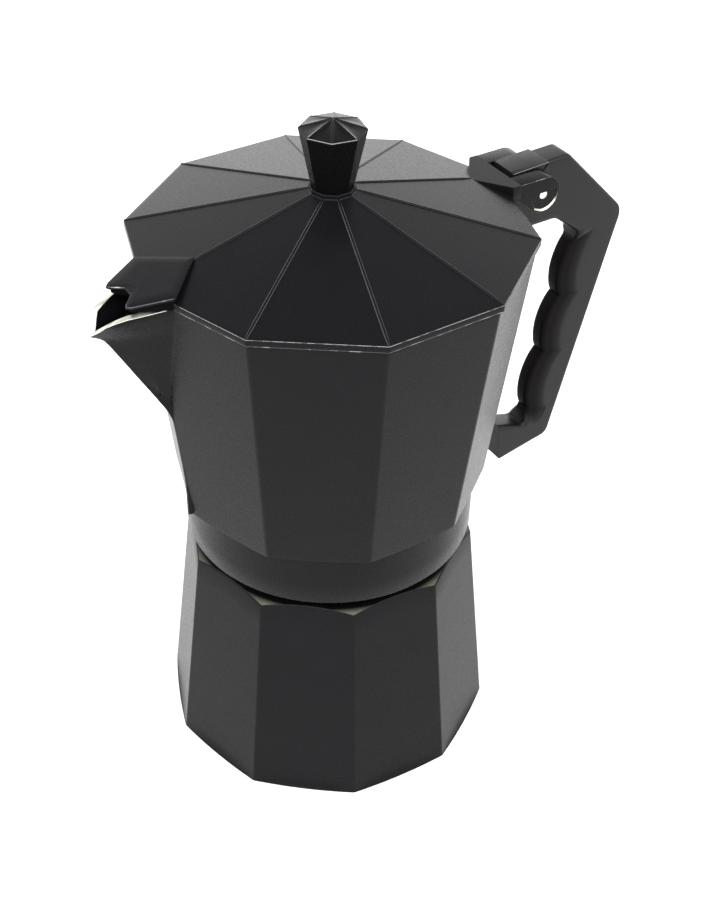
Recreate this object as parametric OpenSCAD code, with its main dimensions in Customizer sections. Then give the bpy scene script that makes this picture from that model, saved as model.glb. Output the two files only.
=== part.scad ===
/* [Boiler] */
// Corner radius of the ten-sided base
base_r = 60; // [58:0.5:62]
// Corner radius at the top of the boiler's facets
boiler_top_r = 50.9; // [50.5:0.1:52]
// Height of the boiler's facets
boiler_h = 81.2; // [79:0.2:82]
// Turn of the boiler against the upper chamber when it is screwed home
boiler_turn = -4.65; // [-8:0.05:0]
// Thickness of the boiler's floor
boiler_floor = 4; // [3:0.5:5]

/* [Upper chamber] */
// Radius of the round collar
collar_r = 50; // [49.6:0.1:50.4]
// Height of the collar's lower edge
collar_z = 87; // [86.6:0.1:87.4]
// Corner radius where the facets start
chamber_r0 = 53.6; // [53:0.1:54]
// Corner radius at the rim
chamber_r1 = 63.7; // [63:0.1:63.8]
// Height of the rim
rim_z = 196.8; // [196.4:0.1:197]
// Wall thickness
chamber_wall = 2.6; // [2.2:0.1:3]

/* [Lid] */
// Corner radius of the lid's rim
lid_r = 64.7; // [64.4:0.1:65]
// Height of the rim's vertical lip
lid_lip = 2.4; // [2:0.1:3]
// Rise of the pyramid from its rim to its peak
lid_rise = 16.1; // [15:0.1:17]
// Thickness of the lid
lid_wall = 2; // [1.6:0.1:2.4]

/* [Knob] */
// Corner radius of the knob's base
knob_r0 = 6.7; // [6.4:0.1:7.5]
// Corner radius of the knob's top edge
knob_r1 = 10.5; // [9:0.1:12]
// Height of the knob's tapered side
knob_h = 18.5; // [17:0.5:21]
// Rise of the knob's shallow peak
knob_peak = 3.3; // [2:0.1:4]

/* [Handle] */
// Thickness of the handle
handle_w = 10; // [9:0.5:10.5]
// How far each finger bump stands out
bump = 3.4; // [2:0.2:4]

/* [Hinge] */
// Distance of the hinge pin from the pot's axis
pin_x = 74.5; // [74.3:0.1:74.7]
// Height of the hinge pin
pin_z = 195.5; // [195.3:0.1:195.7]
// Radius of the hinge pin
pin_r = 1.9; // [1.8:0.05:2]

/* [Brewing parts] */
// Outer radius of the funnel's basket
basket_r = 40.4; // [40:0.1:40.6]
// Depth of the basket
basket_h = 26; // [22:1:28]
// Outer radius of the riser column at its top
riser_r = 5.5; // [5:0.1:6]
// Height of the riser column's top
riser_z = 165; // [150:1:175]

/* [Hidden] */
$fn = 96;

sides = 10;
black = "#2b2b2d";
bare = "#b9b8b2";

// Neck and thread. The rings of the two threads pass each other freely.
neck_root = 45.2;
neck_crest = 46.1;
neck_top = 99;
mouth_r = 41.5;
collar_root = 47.5;
collar_crest = 46.5;
thread_pitch = 2.5;

// Stack between the two halves
flange_t = 1;
gasket_t = 3.6;
plate_t = 0.9;
funnel_top = neck_top + flange_t;
gasket_top = funnel_top + gasket_t;
plate_top = gasket_top + plate_t;
chamber_foot = 107.3;
chamber_floor = 110.5;
seat_r = 45.4;

// Lid and knob
lid_z = rim_z + lid_lip;
peak_z = lid_z + lid_rise;
knob_z = peak_z - 0.4;
boss_z = peak_z - 5.6;
hood_slope = 0.2;
hood_lift = 1.1;
hood_x = 47.4;
plate_z = 202;
slot_half = 5.9;
arm_y = 12.1;
eye_r = 6.2;

// Safety valve, square to one facet
valve_turn = boiler_turn + 90;
valve_h = 45;
facet_lean = atan(cos(180 / sides) * (base_r - boiler_top_r) / boiler_h);

function boiler_r(z) = base_r - (base_r - boiler_top_r) * z / boiler_h;
function chamber_r(z) =
    chamber_r0 + (chamber_r1 - chamber_r0) * (z - chamber_foot) / (rim_z - chamber_foot);

// One level of a regular prism: circumradius r, corners rounded to radius c
function ngon(r, z, c, turn = 0, n = sides, k = 4) = [
    for (i = [0:n - 1], j = [0:k])
        let (a = turn + i * 360 / n, d = r - c / cos(180 / n), b = a + (j / k - 0.5) * 360 / n)
        [d * cos(a) + c * cos(b), d * sin(a) + c * sin(b), z]
];

// Closed solid through a list of levels, lowest first, each turning anticlockwise seen from above
module skin(levels) {
    m = len(levels[0]);
    top = (len(levels) - 1) * m;
    polyhedron(
        points = [for (level = levels, p = level) p],
        faces = concat(
            [[for (i = [0:m - 1]) i]],
            [for (l = [0:len(levels) - 2], i = [0:m - 1])
                [l * m + i, (l + 1) * m + i, (l + 1) * m + (i + 1) % m, l * m + (i + 1) % m]],
            [[for (i = [m - 1:-1:0]) top + i]]
        )
    );
}

// Outline whose corners [x, y, r] are rounded to radius r, as a list of points
function rounded(path, k = 5) = [
    for (i = [0:len(path) - 1])
        let (
            n = len(path),
            q = path[i],
            p = [q[0], q[1]],
            before = [path[(i + n - 1) % n][0], path[(i + n - 1) % n][1]] - p,
            after = [path[(i + 1) % n][0], path[(i + 1) % n][1]] - p,
            u = before / norm(before),
            v = after / norm(after),
            half = acos(max(-1, min(1, u * v))) / 2,
            run = q[2] / tan(half),
            centre = p + (u + v) / norm(u + v) * q[2] / sin(half),
            start = p + u * run - centre,
            side = u[0] * v[1] - u[1] * v[0] > 0 ? -1 : 1
        )
        each q[2] == 0 ? [p] : [
            for (j = [0:k])
                let (a = side * j / k * (180 - 2 * half))
                centre + [start[0] * cos(a) - start[1] * sin(a), start[0] * sin(a) + start[1] * cos(a)]
        ]
];

// Wedge thread drawn as rings, from z0 to z1, standing between radii root and crest
function thread_rings(root, crest, z0, z1) = [
    for (z = [z0:thread_pitch:z1 - thread_pitch])
    for (p = [[root, 0], [crest, 0.9], [crest, 1.5], [root, 2.4]])
        [p[0], z + p[1]]
];

module at_valve() {
    rotate([0, 0, valve_turn])
        translate([cos(180 / sides) * boiler_r(valve_h), 0, valve_h])
        rotate([0, 90 - facet_lean, 0])
        children();
}

module at_pin(y) {
    translate([pin_x, y, pin_z]) rotate([90, 0, 0]) children();
}

// ---- Boiler ----

// One level of the boiler: ten straight sides of corner radius r, blended towards a circle by round
function boiler_level(r, z, round) = [
    for (i = [0:sides - 1], a = [-18, -17.2, -12, -6.5, 6.5, 12, 17.2])
        let (
            flat = r * cos(18) / cos(a) - (abs(a) == 18 ? 0.12 : 0),
            d = flat + (r - flat) * round,
            b = boiler_turn + 18 + i * 36 + a
        )
        [d * cos(b), d * sin(b), z]
];

// The facets swell a little over their last few millimetres, and their lower edge is softened
module boiler_outside() {
    flare_h = 5;
    swell = 0.3;
    edge = 0.5;
    skin(concat(
        [for (a = [0:30:60]) boiler_level(base_r - edge * (1 - sin(a)), edge * (1 - cos(a)), swell)],
        [for (z = [edge:1:flare_h - 0.4]) boiler_level(boiler_r(z), z, swell * pow(1 - z / flare_h, 2))],
        [for (z = [flare_h, collar_z]) boiler_level(boiler_r(z), z, 0)]
    ));
}

module boiler() {
    shoulder = tan(34);
    shoulder_z = boiler_h + (boiler_top_r - neck_root) * shoulder;
    color(black) difference() {
        union() {
            intersection() {
                boiler_outside();
                rotate_extrude() polygon([
                    [0, -1], [70, -1],
                    [70, boiler_h - (70 - boiler_top_r) * shoulder],
                    [neck_root - 1, shoulder_z + shoulder], [0, shoulder_z + shoulder]
                ]);
            }
            rotate_extrude() polygon(concat(
                [[0, 70], [neck_root, 70]],
                thread_rings(neck_root, neck_crest, shoulder_z + 0.6, neck_top - 0.6),
                [[neck_root, neck_top - 0.8], [neck_root - 0.8, neck_top], [0, neck_top]]
            ));
        }
        rotate_extrude() polygon([
            [0, boiler_floor], [50, boiler_floor], [52.6, boiler_floor + 3],
            [45.6, boiler_h - 6], [mouth_r, boiler_h + 1], [mouth_r, neck_top - 0.6],
            [mouth_r + 0.6, neck_top + 0.1], [0, neck_top + 0.1]
        ]);
        at_valve() translate([0, 0, -10]) cylinder(r = 4.8, h = 20);
    }
}

// ---- Safety valve, along its own outward axis from the facet ----

module valve_washer() {
    color("#a05a35") at_valve() difference() {
        cylinder(r = 7.2, h = 0.8);
        translate([0, 0, -1]) cylinder(r = 4.9, h = 3);
    }
}

module valve_body() {
    color("#b8923f") at_valve() difference() {
        union() {
            translate([0, 0, -6.5]) cylinder(r = 4.7, h = 8);
            translate([0, 0, 0.85]) cylinder(r = 8.1, h = 5, $fn = 6);
            translate([0, 0, 5]) cylinder(r = 5.4, h = 3);
        }
        translate([0, 0, -8]) cylinder(r = 1.7, h = 10);
        translate([0, 0, -4]) cylinder(r = 3.4, h = 14);
    }
}

module valve_pin() {
    color("#c9a24c") at_valve() {
        rotate_extrude() polygon([
            [0, -5.6], [0.7, -5.6], [1.4, -4.4], [1.4, -3.95], [2.9, -3.95], [2.9, -2.5],
            [1, -2.5], [1, 8.8], [0.7, 9.1], [0, 9.1]
        ]);
    }
}

// Round wire swept along a helix
module valve_spring() {
    coil_r = 2.2;
    wire = 0.35;
    turns = 6;
    z0 = -2;
    z1 = 5.75;
    per_turn = 16;
    ring = 6;
    color("silver") at_valve() skin([
        for (i = [0:turns * per_turn])
            let (a = i * 360 / per_turn, z = z0 + (z1 - z0) * i / (turns * per_turn))
            [for (j = [0:ring - 1])
                let (b = -j * 360 / ring, r = coil_r + wire * cos(b))
                [r * cos(a), r * sin(a), z + wire * sin(b)]]
    ]);
}

module valve_cap() {
    color("#b8923f") at_valve() difference() {
        translate([0, 0, 6.2]) cylinder(r = 3.42, h = 1.6);
        translate([0, 0, 5]) cylinder(r = 1.06, h = 4);
        for (x = [-2.4, 2.4]) translate([x, 0, 6.9]) cylinder(r = 0.5, h = 2);
    }
}

// ---- Funnel ----

module funnel() {
    wall = 1.1;
    bottom = funnel_top - basket_h;
    tube = 5;
    color(bare) rotate_extrude() polygon([
        [basket_r - wall, bottom], [basket_r - wall, funnel_top], [43.6, funnel_top], [43.6, neck_top],
        [basket_r, neck_top], [basket_r, bottom - 1.5], [tube + 4, bottom - 9], [tube, bottom - 13],
        [tube, boiler_floor + 4], [tube - wall, boiler_floor + 4], [tube - wall, bottom - 12.5],
        [tube + 3, bottom - 7.8], [basket_r - 5, bottom - 1.4], [basket_r - 3, bottom]
    ]);
}

// Perforated disc: holes of radius hole on rings spaced by step, up to radius reach
module sieve(r, t, hole, step, reach) {
    linear_extrude(t) difference() {
        circle(r);
        circle(hole);
        for (k = [1:floor(reach / step)], i = [0:6 * k - 1])
            rotate(i * 60 / k + k * 7) translate([k * step, 0]) circle(hole, $fn = 16);
    }
}

module funnel_sieve() {
    color(bare) translate([0, 0, funnel_top - basket_h + 0.05])
        sieve(basket_r - 1.25, 0.9, 0.8, 5.9, 36.5);
}

// ---- Seal and filter ----

module gasket() {
    color("#d8d2c4") difference() {
        translate([0, 0, funnel_top + 0.05]) cylinder(r = 45.1, h = gasket_t - 0.1);
        translate([0, 0, funnel_top - 1]) cylinder(r = 38.6, h = 8);
    }
}

module filter_plate() {
    color("silver") translate([0, 0, gasket_top]) sieve(45, plate_t - 0.05, 0.8, 5.4, 35);
}

// ---- Upper chamber ----

// The prow starts inside the wall at spout_foot, is spout_w wide each side at the rim, and
// pours at lip_z
spout_foot = 142;
spout_w = 11.2;
lip_z = 188.4;

// Keel of the prow: [height, distance from the axis], from inside the wall up to the lip
keel_line = [
    [spout_foot, 55], [146, 56.8], [150, 58.7], [153.2, 60], [161.6, 64.6], [169.6, 69.1], [176.7, 73],
    [182.8, 76.4], [186, 78.4], [187.6, 80.4], [188.4, 82.4], [193.8, 81.6], [rim_z, 81.2]
];

// Half width of the spout where it leaves the wall, at height z
function spout_half(z) = max(0.6, spout_w * (z - 155) / (rim_z - 155));

// Half width of its blunt nose, which opens above the lip
function nose_half(z) = min(4.6, 0.5 + 0.8 * max(0, z - lip_z));

// Outline of the prow at height z, shrunk by wall. A shrunk one breaks out through the nose
// above the lip.
function spout_level(z, wall) =
    let (
        w = max(0.5, spout_half(z) - wall),
        keel = lookup(z, keel_line),
        nose = max(0.25, nose_half(z) - wall * 1.2),
        open = wall > 0 && z > lip_z + wall,
        x1 = keel - 1.3 * wall + (open ? 4 : 0),
        x0 = min(chamber_r(z) - 0.325 * w - 1.2 - wall, x1 - 0.4),
        side = [for (f = [0, 0.2, 0.4, 0.6, 0.8, 0.93, 1])
            [x0 + (x1 - x0) * f, w + (nose - w) * f + 0.6 * sin(180 * f)]]
    )
    concat(
        [[-50, -w, z], [-50, w, z]],
        [for (p = side) [-p[0], p[1], z]],
        [for (i = [len(side) - 1:-1:0]) [-side[i][0], -side[i][1], z]]
    );

module spout(wall) {
    heights = [
        spout_foot, 146, 150, 153.2, 157, 161.6, 165.6, 169.6, 173.2, 176.7, 180, 182.8, 185, 186.8,
        lip_z - 0.2, lip_z + 0.8, 191, 194, rim_z, rim_z + 3
    ];
    skin([for (z = heights) spout_level(z + wall, wall)]);
}

module chamber_outside() {
    skin([
        ngon(chamber_r(collar_z + 18), collar_z + 18, 2.2),
        ngon(chamber_r(rim_z), rim_z, 2.2)
    ]);
}

module upper_chamber() {
    ledge = tan(20);
    color(black) difference() {
        union() {
            translate([0, 0, collar_z]) cylinder(r = collar_r, h = 19.5);
            intersection() {
                chamber_outside();
                rotate_extrude() polygon([
                    [0, collar_z + 19], [collar_r - 0.5, collar_z + 19],
                    [75, collar_z + 19 + (75.5 - collar_r) * ledge], [75, 210], [0, 210]
                ]);
            }
            intersection() {
                spout(0);
                spout_cut();
            }
            translate([0, 2.5, 0]) rotate([90, 0, 0]) linear_extrude(5)
                polygon([
                    [58, 176], [63.5, 181], [pin_x + 3, pin_z - 4.2], [pin_x, pin_z + 4.7],
                    [66.5, 194], [58, 194]
                ]);
            at_pin(2.5) cylinder(r = 4.8, h = 5);
        }
        skin([
            ngon(chamber_r(chamber_floor) - chamber_wall, chamber_floor, 2),
            ngon(chamber_r(rim_z + 1) - chamber_wall, rim_z + 1, 2)
        ]);
        spout(1.4);
        chamber_underside();
        cylinder(r = 6.03, h = 200);
        at_pin(10) cylinder(r = pin_r - 0.01, h = 20);
    }
}

// What is left of the prow below its rim, which dips towards the tip
module spout_cut() {
    translate([0, 30, 0]) rotate([90, 0, 0]) linear_extrude(60) polygon([
        [-50, rim_z], [-74, rim_z], [-77.5, 196], [-80, 194.8], [-81.6, 193.6], [-82.6, 192],
        [-84, 189], [-84, 140], [-50, 140]
    ]);
}

module chamber_underside() {
    rotate_extrude() polygon(concat(
        [[0, collar_z - 1], [collar_root + 1, collar_z - 1]],
        [[collar_root + 1, collar_z], [collar_root, collar_z + 1]],
        thread_rings(collar_root, collar_crest, collar_z + 1.2, neck_top - 0.5),
        [[collar_root, neck_top + 0.5], [seat_r, neck_top + 1], [seat_r, plate_top]],
        [[41, plate_top], [9, chamber_foot + 0.3], [0, chamber_foot + 0.3]]
    ));
}

// ---- Riser column ----

module riser_column() {
    foot = 107.7;
    color(black) difference() {
        rotate_extrude() polygon([
            [0, foot], [6.05, foot], [6.05, 118], [riser_r + 0.3, 122], [riser_r, riser_z - 1.5],
            [riser_r - 1.5, riser_z], [0, riser_z]
        ]);
        translate([0, 0, foot - 1]) cylinder(r = 3.6, h = riser_z - foot - 2);
        for (s = [-1, 1]) translate([s * riser_r, 0, riser_z - 8]) cube([7, 4.4, 6], center = true);
    }
}

// ---- Handle ----

// Notches between the finger bumps, down the inner side of the grip
notches = [[98.6, 167], [94.8, 144.5], [90.4, 121.5], [85.8, 97.6]];

// One finger bump from notch a to notch b, without its first point
function bump_arc(a, b, k = 8) = [
    for (j = [1:k])
        let (t = j / k, out = [(b - a)[1], -(b - a)[0]] / norm(b - a))
        a + (b - a) * t + out * bump * pow(4 * t * (1 - t), 0.8)
];

// Points spaced evenly between a and b, without the ends
function between(a, b, n) = [for (j = [1:n]) a + (b - a) * j / (n + 1)];

// The corners of an open path, rounded as in rounded(), without the path's two ends
function bends(path, k = 5) =
    let (all = rounded(path, k))
    [for (i = [k + 1:(len(path) - 1) * (k + 1) - 1]) all[i]];

// The two edges of the handle's side view, from the hinge round to the foot
outer_bends = bends([
    [66.2, 202.5, 1], [90.2, 203, 2.5], [118, 174.8, 6], [95.4, 83.6, 3.5], [73.4, 79.4, 1]
]);
inner_edge = concat(
    [[64.9, 179]],
    bends([[64.9, 179, 1], [87.8, 179, 5], [98.8, 170.5, 1]]),
    [notches[0]],
    [for (i = [0:2]) each bump_arc(notches[i], notches[i + 1])],
    bends([[85.8, 97.6, 1], [83.4, 91.6, 1.5], [71.2, 96, 1]]),
    [[71.2, 96]]
);
outer_edge = concat(
    [[66.2, 202.5]],
    [for (i = [0:11]) outer_bends[i]],
    between(outer_bends[11], outer_bends[12], len(inner_edge) - 20),
    [for (i = [12:17]) outer_bends[i]],
    [[73.4, 79.4]]
);

// Cross-section from inner edge point a to outer edge point b, corners rounded to r_in and r_out
function handle_section(a, b, w, r_in, r_out, k = 3) =
    let (
        u = (b - a) / norm(b - a),
        depth = norm(b - a),
        corners = [
            [r_in, r_in - w / 2, r_in, 270], [r_in, w / 2 - r_in, r_in, 180],
            [depth - r_out, w / 2 - r_out, r_out, 90], [depth - r_out, r_out - w / 2, r_out, 0]
        ]
    )
    [for (c = corners, j = [0:k])
        let (t = c[3] - 90 * j / k, d = c[0] + c[2] * cos(t))
        [a[0] + u[0] * d, c[1] + c[2] * sin(t), a[1] + u[1] * d]];

// Flat plate of width w, drawn in side view
module plate_xz(path, w) {
    translate([0, w / 2, 0]) rotate([90, 0, 0]) linear_extrude(w) polygon(path);
}

// Side view of the slot that takes the lug
lug_slot = [[60, 170], [69, 178], [82, 190.5], [82, 198.5], [76, 201.2], [68, 199.5], [60, 196]];

module handle() {
    color("#1d1c1c") difference() {
        union() {
            skin([for (i = [0:len(inner_edge) - 1])
                handle_section(inner_edge[i], outer_edge[i], handle_w, 2, 1.3)]);
            plate_xz([[66.4, 190], [81, 190], [81, 202.6], [66.4, 202.3]], handle_w + 1);
        }
        plate_xz(lug_slot, 5.3);
        at_pin(10) cylinder(r = pin_r + 0.05, h = 20);
    }
}

module hinge_pin() {
    color("silver") at_pin(arm_y) cylinder(r = pin_r, h = 2 * arm_y);
}

// ---- Lid ----

module pyramid(r, z, lip, rise) {
    skin([
        ngon(r, z, 1, 0),
        ngon(r, z + lip, 1, 0),
        ngon(r * 0.06, z + lip + rise * 0.94, 0.3, 0)
    ]);
}

// Plan of the spout hood and its front notch
hood_plan = [
    [-hood_x, 0], [-60.7, -13.3], [-72.2, -7.9], [-73.4, -6.6], [-72.7, -5.2], [-69.4, -1.7],
    [-69.4, 1.7], [-72.7, 5.2], [-73.4, 6.6], [-72.2, 7.9], [-60.7, 13.3]
];

module hood_above(lift) {
    top = peak_z - hood_x * lid_rise / lid_r + hood_lift + lift;
    translate([0, 20, 0]) rotate([90, 0, 0]) linear_extrude(40) polygon([
        [-90, 190], [-40, 190],
        [-40, top + (hood_x - 40) * hood_slope], [-90, top - (90 - hood_x) * hood_slope]
    ]);
}

module hood() {
    intersection() {
        translate([0, 0, rim_z + 0.3]) linear_extrude(12) polygon(hood_plan);
        hood_above(0);
    }
}

module hood_hollow() {
    intersection() {
        translate([0, 0, 190]) linear_extrude(20) polygon([
            [-56, -9.5], [-60.9, -11.2], [-71.4, -6.2], [-75, -5.2],
            [-75, 5.2], [-71.4, 6.2], [-60.9, 11.2], [-56, 9.5]
        ]);
        hood_above(-2.2);
    }
}

module hinge_plate() {
    linear_extrude(plate_z - rim_z)
        polygon([[52.4, 0], [61.2, -arm_y], [pin_x, -arm_y], [pin_x, arm_y], [61.2, arm_y]]);
}

module lid() {
    color(black) difference() {
        union() {
            difference() {
                union() {
                    pyramid(lid_r, rim_z, lid_lip, lid_rise);
                    hood();
                    translate([0, 0, rim_z]) hinge_plate();
                }
                hood_hollow();
                pyramid(lid_r - lid_wall, rim_z - 1, lid_lip - 0.2, lid_rise - 0.6);
            }
            translate([0, 0, boss_z]) cylinder(r = 7.4, h = knob_z - boss_z);
            for (s = [-1, 1]) translate([0, s * (arm_y + slot_half) / 2, 0]) {
                plate_xz([
                    [62.5, rim_z], [70.6, pin_z - 4.8], [pin_x, pin_z - 4], [pin_x, plate_z], [62.5, plate_z]
                ], arm_y - slot_half);
                at_pin((arm_y - slot_half) / 2) cylinder(r = eye_r, h = arm_y - slot_half);
            }
        }
        at_pin(slot_half) cylinder(r = 11.5, h = 2 * slot_half);
        at_pin(20) cylinder(r = pin_r + 0.05, h = 40);
        cylinder(r = 2.2, h = 230);
    }
}

// ---- Knob ----

module knob() {
    turn = 11;
    color("#141416") difference() {
        skin([
            ngon(knob_r0, knob_z, 0.5, turn, 8),
            ngon(knob_r1, knob_z + knob_h - 0.3, 0.5, turn, 8),
            ngon(knob_r1 - 0.3, knob_z + knob_h, 0.4, turn, 8),
            ngon(0.4, knob_z + knob_h + knob_peak, 0.1, turn, 8)
        ]);
        translate([0, 0, knob_z - 1]) cylinder(r = 3.48, h = 14);
    }
}

module knob_insert() {
    color("#b8923f") translate([0, 0, knob_z + 0.2]) difference() {
        cylinder(r = 3.5, h = 12);
        translate([0, 0, -1]) cylinder(r = 2, h = 14);
    }
}

module knob_washer() {
    color("silver") translate([0, 0, boss_z - 0.85]) difference() {
        cylinder(r = 5.5, h = 0.8);
        translate([0, 0, -1]) cylinder(r = 2.2, h = 3);
    }
}

module knob_screw() {
    head = 2.2;
    color("silver") difference() {
        union() {
            translate([0, 0, boss_z - 0.9 - head]) cylinder(r = 3.8, h = head);
            translate([0, 0, boss_z - 1.5]) cylinder(r = 1.95, h = knob_z + 10 - boss_z);
        }
        for (a = [0, 90])
            rotate(a) translate([0, 0, boss_z - 0.9 - head]) cube([4.4, 0.9, 2], center = true);
    }
}

boiler();
valve_body();
valve_washer();
valve_pin();
valve_spring();
valve_cap();
funnel();
funnel_sieve();
gasket();
filter_plate();
upper_chamber();
riser_column();
handle();
hinge_pin();
lid();
knob();
knob_insert();
knob_washer();
knob_screw();
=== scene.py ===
# %% [markdown]
# # A ten-sided moka pot
#
# The pot is a boiler with a screwed-on upper chamber, a hinged lid, a knob and a grip. The joints and
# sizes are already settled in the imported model, so this lesson only gives the pot its surfaces. Each
# casting is a grid of two parameters: an angle round the pot and a place along a profile.

import math

import bpy
import numpy as np
from mathutils import Matrix, Vector


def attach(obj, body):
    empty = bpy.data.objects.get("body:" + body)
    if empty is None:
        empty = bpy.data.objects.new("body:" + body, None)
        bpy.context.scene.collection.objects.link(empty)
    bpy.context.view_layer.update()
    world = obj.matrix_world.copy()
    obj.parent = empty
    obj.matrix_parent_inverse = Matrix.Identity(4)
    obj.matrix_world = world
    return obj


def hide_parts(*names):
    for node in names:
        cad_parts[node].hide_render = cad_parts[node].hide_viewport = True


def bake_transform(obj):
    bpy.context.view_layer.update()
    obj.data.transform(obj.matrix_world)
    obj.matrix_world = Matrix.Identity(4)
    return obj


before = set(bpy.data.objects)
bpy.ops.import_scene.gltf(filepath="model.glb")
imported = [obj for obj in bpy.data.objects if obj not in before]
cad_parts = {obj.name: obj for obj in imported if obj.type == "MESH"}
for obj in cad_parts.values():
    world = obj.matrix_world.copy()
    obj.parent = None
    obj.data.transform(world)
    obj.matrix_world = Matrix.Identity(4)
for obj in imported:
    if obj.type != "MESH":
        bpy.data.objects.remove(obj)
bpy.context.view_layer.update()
scene = bpy.context.scene

# %% [markdown]
# ## Camera
#
# A pot like this is usually shown from above, so that the lid, the spout and one side of the grip are
# seen together. The camera stands 0.59 m from the pot, 39 degrees above the table, and is rolled a
# little, as a hand-held one is. Its three axes are written as vectors, which is exact and easy to read.

# %% Camera
def add_camera(place, right, up, roll, focal):
    """A camera at a place in metres, with its right and up directions turned by roll degrees."""
    right, up = Vector(right).normalized(), Vector(up).normalized()
    back = right.cross(up)
    c, s = math.cos(math.radians(roll)), math.sin(math.radians(roll))
    x, y = right * c + up * s, up * c - right * s
    data = bpy.data.cameras.new("camera")
    data.sensor_fit, data.sensor_width, data.sensor_height, data.lens = "VERTICAL", 36, 36, focal
    camera = bpy.data.objects.new("camera", data)
    scene.collection.objects.link(camera)
    camera.matrix_world = Matrix.Translation(place) @ Matrix((x, y, back)).transposed().to_4x4()
    return camera


scene.camera = add_camera(
    (-0.2140, -0.3353, 0.4335), (0.8284, -0.5601, 0), (0.3520, 0.5206, 0.7777), 1.57, 59.246)
print("camera stands", round(scene.camera.location.length, 3), "m from the foot of the pot")

# %% [markdown]
# ## Small tools
#
# A few helpers serve every step. One turns an sRGB colour code into the linear values that Blender mixes
# with. The others give a node its values and links, add one in a single call, mix two colours, carry a
# value from one range to another, and start a material with its shader and its texture coordinates.

# %% Colour and node helpers
def linear(code):
    """sRGB #rrggbb to linear RGBA: c/12.92 below 0.04045, else ((c + 0.055)/1.055)^2.4."""
    c = np.array([int(code[i:i + 2], 16) for i in (1, 3, 5)]) / 255
    rgb = np.where(c <= 0.04045, c / 12.92, ((c + 0.055) / 1.055) ** 2.4)
    return (*rgb.tolist(), 1.0)


def feed(tree, node, **inputs):
    """Gives a node its inputs, values or sockets, by the input's name or its number: i0, i1 and so on."""
    for key, value in inputs.items():
        socket = node.inputs[int(key[1:]) if key[1:].isdigit() else key.replace("_", " ")]
        if isinstance(value, bpy.types.NodeSocket):
            tree.links.new(value, socket)
        else:
            socket.default_value = value


def add_node(tree, kind, settings=None, **inputs):
    """Adds a shader node with its own settings and its inputs."""
    made = tree.nodes.new("ShaderNode" + kind)
    for key, value in (settings or {}).items():
        setattr(made, key, value)
    feed(tree, made, **inputs)
    return made


def mixed(tree, share, first, second):
    """Colour that goes from first to second as share goes from 0 to 1."""
    return add_node(tree, "Mix", {"data_type": "RGBA"}, i0=share, i6=first, i7=second).outputs[2]


def mapped(tree, value, start, end, low, high, **settings):
    """Value carried from the range start to end onto the range low to high, and held at both ends."""
    ranges = {"i1": start, "i2": end, "i3": low, "i4": high}
    return add_node(tree, "MapRange", settings, Value=value, **ranges).outputs[0]


def new_material(name, **shader):
    """A material with a Principled shader; returns it, its tree, the shader and object coordinates."""
    material = bpy.data.materials.new(name)
    material.use_nodes = True
    tree = material.node_tree
    tree.nodes.clear()
    bsdf = add_node(tree, "BsdfPrincipled", **shader)
    add_node(tree, "OutputMaterial", Surface=bsdf.outputs[0])
    place = add_node(tree, "TexCoord").outputs["Object"]
    return material, tree, bsdf, place

# %% [markdown]
# ## Floor
#
# The pot stands on a wide sheet of matt white paper, which keeps a faint shadow under the foot. Paper is
# never quite even, so a slow noise moves its white a little from place to place.

# %% Paper floor
def add_floor(size, cells=8):
    """A square sheet, size metres wide, as a net of cells by cells squares, numbered row by row."""
    side = cells + 1
    n = np.linspace(-size / 2, size / 2, side)
    points = np.stack(np.meshgrid(n, n), -1).reshape(-1, 2)
    corner = (np.arange(cells)[:, None] * side + np.arange(cells)).reshape(-1, 1)
    faces = (corner + [0, 1, side + 1, side]).tolist()
    mesh = bpy.data.meshes.new("floor")
    mesh.from_pydata(np.c_[points, np.zeros(len(points))].tolist(), [], faces)
    floor = bpy.data.objects.new("floor", mesh)
    scene.collection.objects.link(floor)
    return floor


paper, tree, bsdf, place = new_material("white_paper", Roughness=0.9)
tone = add_node(tree, "TexNoise", Vector=place, Scale=30)
feed(tree, bsdf, Base_Color=mixed(tree, tone.outputs[0], linear("#e0e0df"), linear("#e4e4e3")))
floor = add_floor(6)
floor.data.materials.append(paper)
print("paper floor of", len(floor.data.polygons), "squares")

# %% [markdown]
# ## Room and soft boxes
#
# Black ware is shown against white, lit by what it mirrors. Three large soft boxes stand high round the
# front, and the room is bright near the horizon and dim overhead, so that upright sides seen at a low
# angle shine and sides seen square on stay dark. The wall behind the pot is brighter still, because that
# is what the outermost sides mirror.

# %% Room
HORIZON, OVERHEAD = 2.5, 0.55
WALL_WAY, WALL_BOOST = (0.53, 0.85, 0), 1.22

world = bpy.data.worlds.new("studio")
scene.world = world
world.use_nodes = True
tree = world.node_tree
tree.nodes.clear()
way = add_node(tree, "TexCoord").outputs["Generated"]
height = add_node(tree, "SeparateXYZ", Vector=way).outputs["Z"]
glow = mapped(tree, height, 0.05, 1.0, HORIZON, OVERHEAD, interpolation_type="SMOOTHSTEP")
behind = add_node(tree, "VectorMath", {"operation": "DOT_PRODUCT"}, i0=way, i1=WALL_WAY)
boost = mapped(tree, behind.outputs["Value"], 0, 0.9, 1, WALL_BOOST)
level = add_node(tree, "Math", {"operation": "MULTIPLY"}, i0=glow, i1=boost).outputs[0]
sky = add_node(tree, "Background", Color=linear("#ffffff"), Strength=level)
add_node(tree, "OutputWorld", Surface=sky.outputs[0])
scene.view_settings.view_transform = "Standard"
print("room glows from", OVERHEAD, "overhead to", HORIZON, "at the horizon")

# %% Soft boxes
POT_MIDDLE = Vector((0, 0, 0.1))


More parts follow.
